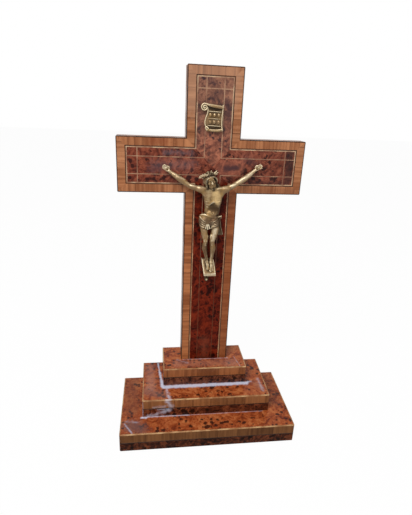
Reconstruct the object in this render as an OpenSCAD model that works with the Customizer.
// Table cross in veneered wood on a three-step foot, with a cast brass figure and scroll.
// Frame: x across the cross, y from front (negative) to back, z up, origin under the middle of the foot.

/* [Foot] */
// Width of the lowest step
base_w = 194; // [170:1:260]
// Depth of the lowest step
base_d = 97; // [85:1:140]
// Height of each step
step_h = 22; // [18:0.5:30]
// How far each step stands in from the one below at the sides
side_tread = 24; // [14:0.5:30]
// How far each step stands in from the one below at the front
front_tread = 25.5; // [14:0.5:28]

/* [Cross] */
// Height of the whole object
total_h = 390; // [350:1:480]
// Width of the upright
upright_w = 55; // [46:0.5:68]
// Height of the crossbar
bar_h = 55; // [46:0.5:68]
// Length of the crossbar
bar_span = 192; // [160:1:250]
// Drop from the top of the cross to the crossbar
bar_drop = 66.5; // [50:0.5:90]
// Thickness of the cross over its veneers
cross_t = 17; // [14:0.5:22]
// Gap from the back of the upright to the back of the foot
back_gap = 9.5; // [3:0.5:12]

/* [Veneers and stringing] */
// Thickness of every veneer sheet
veneer_t = 1; // [0.8:0.1:1.5]
// Width of the dark line along the outer edge
edge_line_w = 1; // [0.6:0.1:1.5]
// Width of the cross-grained border
border_w = 7.5; // [5:0.1:9]
// Width of the dark string beside the border
dark_string_w = 1; // [0.6:0.1:1.5]
// Width of the light string beside the panels
light_string_w = 1; // [0.6:0.1:1.5]
// Width of the fine light lines inside the panels
inner_string_w = 0.8; // [0.5:0.1:1.2]
// Depth of the fine light lines
inner_string_t = 0.6; // [0.3:0.05:0.7]
// Distance from the light string to the fine lines along the arms
inner_gap = 8.3; // [4:0.1:9]
// Distance from the light string to the fine line across each short arm
end_gap = 9.5; // [5:0.1:14]

/* [Step edging] */
// Thickness of the edging strips
edging_t = 1.2; // [0.8:0.1:2]
// Height of the light string at the upper edge of a step
edge_light_h = 1.2; // [1:0.1:2]
// Height of the cross-grained band on the edge of a step
edge_band_h = 9.8; // [7:0.1:12]
// Height of the dark line under that band
edge_dark_h = 1; // [0.6:0.1:2]

/* [Joinery] */
// Width of the tenon under the upright
tenon_w = 34; // [20:0.5:40]
// Thickness of the tenon
tenon_t = 10; // [8:0.5:11]
// Length of the tenon below the upright's shoulder
tenon_l = 30; // [26:0.5:34]
// Clearance round the tenon
tenon_gap = 0.2; // [0.1:0.05:0.5]
// Shank diameter of the wood screws
screw_d = 4.5; // [3.5:0.1:5]
// Head diameter of the wood screws
screw_head_d = 9; // [8:0.1:10]
// Depth of a screw head below the wood's surface
screw_sink = 1.5; // [1:0.1:3]
// Length of thread in the last piece that a screw enters
screw_bite = 15; // [10:0.5:16]
// Clearance round a screw in the pieces that it passes
screw_gap = 0.4; // [0.2:0.1:0.6]
// Distance between the two screws that hold the middle step
middle_screw_pitch = 90; // [70:1:110]
// Distance between the two screws that hold the upper step
upper_screw_pitch = 72; // [60:1:80]

/* [Figure] */
// Height of the figure from the head to the underside of the foot rest
figure_h = 114; // [95:1:118]
// Shank diameter of the nails and pins
nail_d = 1.5; // [1:0.1:2]
// Head diameter of the nails and pins
nail_head_d = 3; // [2.6:0.1:3.6]
// Depth of the nails and pins in the wood behind the veneer
nail_bite = 6; // [4:0.5:6]
// Clearance round a nail in the metal
nail_gap = 0.15; // [0.1:0.05:0.3]

/* [Scroll] */
// Width of the scroll's plate
scroll_w = 17; // [14:0.5:22]
// Height of the scroll's plate
scroll_h = 25; // [20:0.5:28]
// Thickness of the scroll's plate
scroll_t = 1.4; // [1:0.1:2]
// Height of the scroll's middle above the middle of the crossbar
scroll_rise = 47; // [44:0.5:50]
// Radius of the large curl
volute_r = 3.6; // [3:0.1:4.5]
// Radius of the roll along the lower edge
roll_r = 1.5; // [1.1:0.1:2]

/* [Hidden] */
$fn = 48;
// How far a cut runs past the face that it opens
cut = 0.1;

// The foot: step i is 0 for the lowest
steps = 3;
foot_h = steps * step_h;
back_y = base_d / 2;
edge_lower_h = step_h - edge_light_h - edge_band_h - edge_dark_h;
edge_dark_z = edge_lower_h;
edge_band_z = edge_dark_z + edge_dark_h;
edge_light_z = edge_band_z + edge_band_h;
function step_w(i) = base_w - 2 * i * side_tread;
function step_front(i) = -base_d / 2 + i * front_tread;
function step_mid_y(i) = (step_front(i) + back_y) / 2;

// The cross
cross_back_y = back_y - back_gap;
cross_front_y = cross_back_y - cross_t;
cross_mid_y = (cross_front_y + cross_back_y) / 2;
core_t = cross_t - 2 * veneer_t;
bar_top_z = total_h - bar_drop;
bar_low_z = bar_top_z - bar_h;
bar_mid_z = bar_top_z - bar_h / 2;
dark_inset = edge_line_w + border_w;
light_inset = dark_inset + dark_string_w;
panel_inset = light_inset + light_string_w;
inner_inset = panel_inset + inner_gap;

// Screws: head, tip and slot
screw_head_h = (screw_head_d - screw_d) / 2;
screw_tip_h = 4;
screw_tip_d = 1;
screw_slot_w = 1.2;
screw_slot_h = 1;

// The figure's stations, for a figure of figure_ref_h. Each is [across, out from the wood, up from the middle
// of the crossbar, half the thickness across the limb, half the thickness out from the wood]
figure_ref_h = 114;
figure_scale = figure_h / figure_ref_h;
// Sides of the limbs, fingers and crown, and the turn of a limb's first corner
limb_sides = 12;
limb_turn = 2;
finger_sides = 8;
crown_sides = 18;
// How far a limb's end stands out, as a share of its thickness there
tip_share = 0.5;
trunk = [
    [-1, 9.4, -20.6, 6, 4], [-0.8, 8.6, -23.4, 10.4, 5.6], [-0.4, 8.6, -29, 11, 6.5],
    [-0.2, 8.2, -36.5, 9.3, 5.9], [-0.4, 7.2, -43.5, 7.9, 5], [-2.4, 7.2, -51, 9.2, 5.7],
    [-3.2, 7.4, -58, 9, 5.6]
];
cloth = [
    [-2, 7.3, -49, 9.2, 6.2], [-2.8, 7.5, -51.5, 10.3, 6.9], [-3.5, 7.8, -57, 10.6, 7.2],
    [-3.6, 8.2, -61.5, 9.6, 6.6]
];
cloth_front = [[-5.2, 12.4, -54, 2.8, 2.4], [-4.6, 13.2, -59, 2.4, 2], [-4, 12.8, -63, 1.3, 1.2]];
cloth_knot = [[10, 7, -49, 1.2, 1.2], [8.4, 8.6, -51.6, 2.2, 2.2], [5, 10.6, -54.5, 2.2, 2]];
cloth_tail = [[8, 7.6, -50.5, 1.6, 1.6], [8.7, 6.9, -59, 2.1, 1.5], [11.6, 5.2, -70.5, 1.5, 0.9]];
neck = [[-1.6, 9.2, -24, 4.4, 4], [-3.5, 11.4, -16, 4, 3.8]];
left_arm = [
    [-9, 8.4, -24.6, 4.6, 4.6], [-13, 8.4, -22.4, 3.9, 4], [-19.5, 8, -19.4, 3.1, 3.2],
    [-27.2, 6.6, -15.6, 2.6, 2.6], [-34.4, 5.2, -11.4, 2.5, 2.4], [-41.8, 3.4, -6.4, 1.7, 1.7],
    [-46, 2.7, -3, 2.5, 1.9], [-49.3, 2.8, -0.9, 2, 1.5]
];
right_arm = [
    [8.4, 8.4, -24.6, 4.6, 4.6], [12.6, 8.4, -22, 3.9, 4], [19.3, 8, -18, 3.1, 3.2],
    [26.4, 6.6, -13.8, 2.6, 2.6], [34.3, 5.2, -9, 2.5, 2.4], [42.2, 3.4, -3.4, 1.7, 1.7],
    [46.4, 2.7, -0.4, 2.5, 1.9], [48.6, 2.8, 2.7, 2, 1.5]
];
left_leg = [
    [-7.6, 8, -57, 4.9, 5], [-8.2, 10.4, -66, 4.3, 4.5], [-7.4, 12.2, -75, 3.2, 3.2],
    [-7.2, 9.4, -84.5, 2.9, 3.1], [-4.6, 8.2, -96.5, 1.9, 2], [-4.2, 8.9, -101, 2.2, 2],
    [-3.4, 11.6, -108, 1.9, 1.3]
];
right_leg = [
    [1.6, 8, -57, 4.9, 5], [2.6, 10.8, -66, 4.5, 4.6], [0.6, 12.8, -74.2, 3.3, 3.3],
    [2, 9.6, -85.5, 3, 3.2], [0.8, 9, -97.4, 2, 2.1], [0.5, 9.5, -101.5, 2.3, 2.1],
    [0.3, 12.3, -109, 2, 1.4]
];

// The hands: a flat seat in each palm for the nail's head, and fingers that fan out from the palm
palms = [[-46, -3], [46.4, -0.4]];
palm_r = 2.1;
palm_t = 5;
finger_turns = [147, 57];
finger_fan = [-60, -24, -8, 8, 24];
finger_r = 0.7;
finger_l = 5.4;
finger_root = 2;
finger_out = 3;

// The head, about its own middle: it leans to the left and nods forward
head_at = [-4.4, 12.8, -12];
head_lean = 18;
head_nod = 14;
head = [
    [0, 4.6, -9.4, 1, 1], [0, 3.4, -6.6, 3, 2.8], [0, 1.8, -3, 4.4, 4.6], [0, 0.4, 1, 5.4, 6.2],
    [0, 0, 4.4, 4.9, 5.6], [0, 0, 6.6, 2.8, 3.2]
];
nose = [[0, 5.4, 2, 0.6, 0.8], [0, 6.2, -0.9, 0.9, 1.1], [0, 5.6, -1.7, 0.8, 0.9]];
hair = [[4.4, -1.4, 3.4, 1.8, 2.4], [5.4, -1.2, -2.4, 2, 2.6], [5.2, -2, -9, 1.4, 1.6]];
crown_rx = 5.7;
crown_ry = 6.5;
crown_z = 3.2;
crown_r = 1.2;

// The foot rest's section, as [out, up] from the wood's face, and the lug under it
foot_rest_w = 14;
foot_rest_x = -1.6;
foot_rest_side = [[0, -98.8], [6.4, -98.8], [13.2, -113], [12.2, -116], [0, -110]];
lug_at = [-1.8, -124.4];
lug_r = 2.5;
lug_l = 15;
lug_t = 1.8;

// Curls of the scroll, and the hollow in its left edge
curl_t = 2.4;
curl_depth = 0.7;
curl_rim = 0.9;
curl_eye_r = 1;
curl_overlap = 1.6;
small_curl_r = 2;
waist_r = 12;
waist_cut = 1.6;
spigot_margin = 5;

// Nails and pins, and the spigots cast on the back of the scroll
hand_pins = [for (p = palms) [for (v = [p[0], p[1], palm_t]) v * figure_scale]];
lug_pins = [[for (v = [lug_at[0], lug_at[1], lug_t]) v * figure_scale]];
figure_pins = concat(hand_pins, lug_pins);
spigots = [for (s = [-1, 1]) [0, scroll_rise + s * (scroll_h / 2 - spigot_margin), scroll_t / 2]];
all_pins = concat(figure_pins, spigots);

// The cross's outline in x and z, moved inwards by d, from the left of the foot round to the right
function outline(d) =
    let (
        half = upright_w / 2 - d,
        reach = bar_span / 2 - d,
        low = bar_low_z + d,
        high = bar_top_z - d,
        top = total_h - d
    ) [
        [-half, foot_h], [half, foot_h], [half, low], [reach, low], [reach, high], [half, high],
        [half, top], [-half, top], [-half, high], [-reach, high], [-reach, low], [-half, low]
    ];

// Numbers of the outline's edges, counted from its first point
upright_edges = [1, 5, 7, 11];
bar_edges = [2, 4, 8, 10];
bar_end_edges = [3, 9];
top_edge = [6];

// Extrudes a drawing in x and z from y0 backwards by t
module sheet(y0, t) {
    translate([0, y0 + t, 0])
        rotate([90, 0, 0])
            linear_extrude(t)
                children();
}

// One mitred strip of the outline between two insets
module edge_strip(i, outer, inner) {
    a = outline(outer);
    b = outline(inner);
    j = (i + 1) % len(a);
    polygon([a[i], a[j], b[j], b[i]]);
}

// A band that follows the outline between two insets, open at the foot
module edge_ring(outer, inner) {
    difference() {
        polygon(outline(outer));
        polygon(outline(inner));
    }
}

module front_ring(outer, inner) {
    sheet(cross_front_y, veneer_t)
        edge_ring(outer, inner);
}

module front_strips(edges, outer, inner) {
    for (i = edges)
        sheet(cross_front_y, veneer_t)
            edge_strip(i, outer, inner);
}

module side_strips(edges) {
    for (i = edges)
        sheet(cross_front_y + veneer_t, core_t)
            edge_strip(i, 0, veneer_t);
}

// The fine light lines: two along each arm, turning at the crossing, and one across each short arm
module inner_lines() {
    p = outline(panel_inset);
    q = outline(inner_inset);
    half = q[1].x;
    low = q[2].y;
    high = q[5].y;
    w = inner_string_w;
    difference() {
        union() {
            for (x = [-half, half])
                translate([x - w / 2, foot_h])
                    square([w, p[6].y - foot_h]);
            for (z = [low, high])
                translate([p[9].x, z - w / 2])
                    square([p[4].x - p[9].x, w]);
        }
        // No line runs through the crossing
        translate([-half - w, low + w / 2])
            square([2 * half + 2 * w, high - low - w]);
        translate([-half + w / 2, low - w])
            square([2 * half - w, high - low + 2 * w]);
    }
    translate([p[7].x, p[7].y - end_gap - w])
        square([p[6].x - p[7].x, w]);
    for (x = [p[9].x + end_gap, p[4].x - end_gap - w])
        translate([x, p[3].y])
            square([w, p[4].y - p[3].y]);
}

// The four panels meet on mitres that run from their inner corners to the middle of the crossing
module panel_face(side) {
    p = outline(panel_inset);
    mid = [0, bar_mid_z];
    if (side == "upper")
        polygon([mid, p[5], p[6], p[7], p[8]]);
    if (side == "left")
        polygon([mid, p[8], p[9], p[10], p[11]]);
    if (side == "right")
        polygon([mid, p[2], p[3], p[4], p[5]]);
    if (side == "lower")
        polygon([mid, p[11], p[0], p[1], p[2]]);
}

module panel(side) {
    color("saddlebrown")
        difference() {
            sheet(cross_front_y, veneer_t)
                panel_face(side);
            sheet(cross_front_y - cut, inner_string_t + cut)
                inner_lines();
            pin_holes(all_pins, nail_d);
        }
}

module inner_strings(side) {
    color("wheat")
        sheet(cross_front_y, inner_string_t)
            intersection() {
                inner_lines();
                panel_face(side);
            }
}

module light_string() {
    color("wheat")
        front_ring(light_inset, panel_inset);
}

module dark_string() {
    color("black")
        front_ring(dark_inset, light_inset);
}

module edge_line() {
    color("black")
        front_ring(0, edge_line_w);
}

module border(edges) {
    color("peru")
        front_strips(edges, edge_line_w, dark_inset);
}

module edge_veneers(edges) {
    color("sienna")
        side_strips(edges);
}

module upright_back_veneer() {
    color("sienna")
        translate([-upright_w / 2, cross_back_y - veneer_t, foot_h])
            cube([upright_w, veneer_t, total_h - foot_h]);
}

module crossbar_back_veneers() {
    color("sienna")
        for (x = [-bar_span / 2, upright_w / 2])
            translate([x, cross_back_y - veneer_t, bar_low_z])
                cube([(bar_span - upright_w) / 2, veneer_t, bar_h]);
}

// The two cores lie in each other at half their thickness
module upright_core() {
    w = upright_w - 2 * veneer_t;
    color("burlywood")
        difference() {
            union() {
                translate([-w / 2, cross_front_y + veneer_t, foot_h])
                    cube([w, core_t, total_h - veneer_t - foot_h]);
                translate([-tenon_w / 2, cross_mid_y - tenon_t / 2, foot_h - tenon_l])
                    cube([tenon_w, tenon_t, tenon_l]);
            }
            translate([-upright_w / 2, cross_front_y, bar_low_z + veneer_t])
                cube([upright_w, cross_t / 2, bar_h - 2 * veneer_t]);
            pin_holes(all_pins, nail_d);
            upright_screw_body();
        }
}

module crossbar_core() {
    length = bar_span - 2 * veneer_t;
    notch = upright_w - 2 * veneer_t;
    color("burlywood")
        difference() {
            translate([-length / 2, cross_front_y + veneer_t, bar_low_z + veneer_t])
                cube([length, core_t, bar_h - 2 * veneer_t]);
            translate([-notch / 2, cross_mid_y, bar_low_z])
                cube([notch, cross_t, bar_h]);
            pin_holes(all_pins, nail_d);
        }
}

// A step's block, from z above its underside, set in from its front and sides but flush at the back
module step_block(i, z, h, inset) {
    translate([-step_w(i) / 2 + inset, step_front(i) + inset, i * step_h + z])
        cube([step_w(i) - 2 * inset, back_y - step_front(i) - inset, h]);
}

module step_core(i) {
    color("burlywood")
        difference() {
            step_block(i, 0, step_h - veneer_t, edging_t);
            screw_ways(i);
            held_screws(i);
            mortise();
        }
}

module step_top_veneer(i) {
    color("chocolate")
        difference() {
            step_block(i, step_h - veneer_t, veneer_t, edging_t);
            screw_ways(i);
            mortise();
        }
}

// Edging all along the front and sides of a step
module step_edging(i, z, h) {
    difference() {
        step_block(i, z, h, 0);
        step_block(i, z - cut, h + 2 * cut, edging_t);
        // Opens the back
        translate([-step_w(i) / 2 + edging_t, back_y - cut, i * step_h])
            cube([step_w(i) - 2 * edging_t, 2 * cut, step_h]);
    }
}

// Edging in mitred lengths: one at the front, and one at each side
module front_edging(i, z, h) {
    w = step_w(i) / 2;
    y = step_front(i);
    translate([0, 0, i * step_h + z])
        linear_extrude(h)
            polygon([[-w, y], [w, y], [w - edging_t, y + edging_t], [-w + edging_t, y + edging_t]]);
}

module side_edgings(i, z, h) {
    w = step_w(i) / 2;
    y = step_front(i);
    for (s = [-1, 1])
        translate([0, 0, i * step_h + z])
            linear_extrude(h)
                polygon([
                    [s * w, y], [s * w, back_y],
                    [s * (w - edging_t), back_y], [s * (w - edging_t), y + edging_t]
                ]);
}

module step_light_string(i) {
    color("wheat")
        step_edging(i, edge_light_z, edge_light_h);
}

module step_dark_line(i) {
    color("black")
        step_edging(i, edge_dark_z, edge_dark_h);
}

module step_front_crossband(i) {
    color("peru")
        front_edging(i, edge_band_z, edge_band_h);
}

module step_side_crossbands(i) {
    color("peru")
        side_edgings(i, edge_band_z, edge_band_h);
}

module step_front_band(i) {
    color("saddlebrown")
        front_edging(i, 0, edge_lower_h);
}

module step_side_bands(i) {
    color("saddlebrown")
        side_edgings(i, 0, edge_lower_h);
}

// The hole for the tenon, through the upper step and into the middle one
module mortise() {
    w = tenon_w + 2 * tenon_gap;
    t = tenon_t + 2 * tenon_gap;
    translate([-w / 2, cross_mid_y - t / 2, foot_h - tenon_l - tenon_gap])
        cube([w, t, tenon_l + tenon_gap + cut]);
}

// A countersunk wood screw that points up, with its slot below
module wood_screw(length) {
    difference() {
        union() {
            cylinder(d1 = screw_head_d, d2 = screw_d, h = screw_head_h);
            cylinder(d = screw_d, h = length - screw_tip_h);
            translate([0, 0, length - screw_tip_h])
                cylinder(d1 = screw_d, d2 = screw_tip_d, h = screw_tip_h);
        }
        translate([-screw_head_d / 2, -screw_slot_w / 2, -cut])
            cube([screw_head_d, screw_slot_w, screw_slot_h + cut]);
    }
}

// The way of a screw through the wood that its head bears on
module screw_way(h) {
    translate([0, 0, -cut])
        cylinder(d = screw_head_d + 2 * screw_gap, h = screw_sink + cut);
    translate([0, 0, screw_sink])
        cylinder(d1 = screw_head_d, d2 = screw_d, h = screw_head_h);
    cylinder(d = screw_d + 2 * screw_gap, h = h);
}

// Step i is held to the one below by two screws
module at_step_screws(i) {
    pitch = i == 1 ? middle_screw_pitch : upper_screw_pitch;
    for (s = [-1, 1])
        translate([s * pitch / 2, step_mid_y(i), (i - 1) * step_h])
            children();
}

module step_screw_bodies(i) {
    at_step_screws(i)
        translate([0, 0, screw_sink])
            wood_screw(step_h + screw_bite - screw_sink);
}

module upright_screw_body() {
    translate([0, cross_mid_y, screw_sink])
        wood_screw(foot_h - tenon_l + screw_bite - screw_sink);
}

// Holes in step i for the screws that pass it on their way up
module screw_ways(i) {
    if (i < steps - 1)
        at_step_screws(i + 1)
            screw_way(step_h + cut);
    translate([0, cross_mid_y, 0])
        screw_way(foot_h - tenon_l);
}

// Holes in step i that the screws from the step below bite in
module held_screws(i) {
    if (i > 0)
        step_screw_bodies(i);
}

module upright_screw() {
    color("darkgoldenrod")
        upright_screw_body();
}

module step_screws() {
    color("darkgoldenrod")
        for (i = [1 : steps - 1])
            step_screw_bodies(i);
}

// Round-headed nails: each is [x, height from the crossbar's middle, thickness of metal under its head]
module pin_shank(p, d, front) {
    translate([p[0], cross_front_y - front, bar_mid_z + p[1]])
        rotate([-90, 0, 0])
            cylinder(d = d, h = front + veneer_t + nail_bite);
}

module pins(list) {
    color("goldenrod")
        for (p = list) {
            pin_shank(p, nail_d, p[2]);
            translate([p[0], cross_front_y - p[2], bar_mid_z + p[1]])
                rotate([90, 0, 0])
                    intersection() {
                        sphere(d = nail_head_d);
                        cylinder(d = nail_head_d, h = nail_head_d);
                    }
        }
}

module pin_holes(list, d) {
    for (p = list)
        pin_shank(p, d, p[2] + cut);
}

// A cast part on the face of the cross, drawn about the middle of the crossbar
module on_face() {
    translate([0, cross_front_y, bar_mid_z])
        children();
}

// Rings of points across a path of stations, closed by a tip at each end
function station_at(s) = [s[0], -s[1], s[2]];
function unit(v) = v / norm(v);
function heading(path, i) =
    unit(station_at(path[min(i + 1, len(path) - 1)]) - station_at(path[max(i - 1, 0)]));
function across(path, i) = unit(cross(heading(path, i), [0, 1, 0]));
function ring_point(path, i, a) =
    let (side = across(path, i), front = cross(heading(path, i), side), b = a + limb_turn)
        station_at(path[i]) + path[i][3] * cos(b) * side + path[i][4] * sin(b) * front;
function tip(path, i, way) = station_at(path[i]) + way * tip_share * path[i][4] * heading(path, i);

module limb(path) {
    n = limb_sides;
    last = len(path) - 1;
    first_tip = n * len(path);
    rings = [for (i = [0 : last]) for (j = [0 : n - 1]) ring_point(path, i, 360 * j / n)];
    sides = [
        for (i = [0 : last - 1]) for (j = [0 : n - 1])
            let (k = (j + 1) % n, a = i * n, b = a + n)
                each [[a + j, b + j, b + k], [a + j, b + k, a + k]]
    ];
    ends = [
        for (j = [0 : n - 1])
            let (k = (j + 1) % n)
                each [[first_tip, j, k], [first_tip + 1, last * n + k, last * n + j]]
    ];
    polyhedron(concat(rings, [tip(path, 0, -1), tip(path, last, 1)]), concat(sides, ends));
}

module hand(i) {
    translate([palms[i][0], -finger_out, palms[i][1]])
        for (a = finger_fan)
            rotate([0, -finger_turns[i] - a, 0])
                hull()
                    for (d = [finger_root, finger_l])
                        translate([d, 0, 0])
                            sphere(finger_r, $fn = finger_sides);
}

module head_and_hair() {
    translate([head_at[0], -head_at[1], head_at[2]])
        rotate([head_nod, -head_lean, 0]) {
            limb(head);
            limb(nose);
            limb(hair);
            mirror([1, 0, 0])
                limb(hair);
            crown();
        }
}

// The plaited crown, a ring round the brow
module crown() {
    translate([0, 0, crown_z])
        scale([1, crown_ry / crown_rx, 1])
            rotate_extrude($fn = crown_sides)
                translate([crown_rx, 0])
                    circle(crown_r, $fn = limb_sides);
}

module foot_rest() {
    translate([foot_rest_x - foot_rest_w / 2, 0, 0])
        rotate([90, 0, 90])
            linear_extrude(foot_rest_w)
                polygon([for (p = foot_rest_side) [-p[0], p[1]]]);
}

module lug() {
    translate([lug_at[0], 0, lug_at[1]])
        rotate([90, 0, 0])
            linear_extrude(lug_t)
                hull() {
                    circle(lug_r);
                    translate([-lug_r, 0])
                        square([2 * lug_r, lug_l]);
                }
}

// The flat seat in each palm, which the nail's head bears on
module palm_seat(p) {
    translate([p[0], 0, p[1]])
        rotate([90, 0, 0])
            cylinder(r = palm_r, h = palm_t);
}

module figure() {
    color("darkkhaki")
        difference() {
            on_face()
                scale(figure_scale) {
                    for (path = [trunk, cloth, cloth_front, cloth_knot, cloth_tail, neck])
                        limb(path);
                    for (path = [left_arm, right_arm, left_leg, right_leg])
                        limb(path);
                    for (i = [0, 1]) {
                        hand(i);
                        palm_seat(palms[i]);
                    }
                    head_and_hair();
                    foot_rest();
                    lug();
                }
            // The back is flat where the figure meets the wood
            translate([-bar_span / 2, cross_front_y, foot_h])
                cube([bar_span, cross_t, total_h - foot_h]);
            pin_holes(figure_pins, nail_d + 2 * nail_gap);
        }
}

module hand_nails() {
    pins(hand_pins);
}

module foot_rest_pin() {
    pins(lug_pins);
}

// A sheet with one large curl at its upper left, a small one at its lower left and a rolled lower edge
module scroll() {
    left = -scroll_w / 2;
    low = -scroll_h / 2 + roll_r;
    color("darkkhaki") {
        on_face()
            translate([0, 0, scroll_rise]) {
                rotate([90, 0, 0])
                    linear_extrude(scroll_t)
                        difference() {
                            translate([left, low])
                                square([scroll_w, scroll_h - roll_r]);
                            translate([left - waist_r + waist_cut, 0])
                                circle(waist_r);
                        }
                curl(left + curl_overlap - volute_r, scroll_h / 2 - volute_r + curl_overlap, volute_r);
                curl(left + roll_r, low, small_curl_r);
                translate([left + roll_r, -roll_r, low])
                    rotate([0, 90, 0])
                        cylinder(r = roll_r, h = scroll_w - roll_r);
            }
        for (p = spigots)
            pin_shank(p, nail_d, p[2]);
    }
}

// A curl seen end on: a disc with a raised rim and a raised eye
module curl(x, z, r) {
    translate([x, 0, z])
        rotate([90, 0, 0])
            difference() {
                cylinder(r = r, h = curl_t);
                translate([0, 0, curl_t - curl_depth])
                    difference() {
                        cylinder(r = r - curl_rim, h = curl_depth + cut);
                        cylinder(r = curl_eye_r, h = curl_depth + cut);
                    }
            }
}

step_core(0);  // lower_step_core
step_top_veneer(0);  // lower_step_top_veneer
step_light_string(0);  // lower_step_light_string
step_dark_line(0);  // lower_step_dark_line
step_front_crossband(0);  // lower_step_front_crossband
step_side_crossbands(0);  // lower_step_side_crossbands
step_front_band(0);  // lower_step_front_band
step_side_bands(0);  // lower_step_side_bands
step_core(1);  // middle_step_core
step_top_veneer(1);  // middle_step_top_veneer
step_light_string(1);  // middle_step_light_string
step_dark_line(1);  // middle_step_dark_line
step_front_crossband(1);  // middle_step_front_crossband
step_side_crossbands(1);  // middle_step_side_crossbands
step_front_band(1);  // middle_step_front_band
step_side_bands(1);  // middle_step_side_bands
step_core(2);  // upper_step_core
step_top_veneer(2);  // upper_step_top_veneer
step_light_string(2);  // upper_step_light_string
step_dark_line(2);  // upper_step_dark_line
step_front_crossband(2);  // upper_step_front_crossband
step_side_crossbands(2);  // upper_step_side_crossbands
step_front_band(2);  // upper_step_front_band
step_side_bands(2);  // upper_step_side_bands
upright_core();
crossbar_core();
panel("upper");  // upper_panel
panel("left");  // left_panel
panel("right");  // right_panel
panel("lower");  // lower_panel
inner_strings("upper");  // upper_inner_strings
inner_strings("left");  // left_inner_strings
inner_strings("right");  // right_inner_strings
inner_strings("lower");  // lower_inner_strings
light_string();
dark_string();
edge_line();
border(upright_edges);  // upright_border
border(bar_edges);  // crossbar_border
border(top_edge);  // top_border
border(bar_end_edges);  // crossbar_end_borders
edge_veneers(upright_edges);  // upright_edge_veneers
edge_veneers(bar_edges);  // crossbar_edge_veneers
edge_veneers(concat(bar_end_edges, top_edge));  // end_edge_veneers
upright_back_veneer();
crossbar_back_veneers();
figure();
hand_nails();
foot_rest_pin();
scroll();
upright_screw();
step_screws();
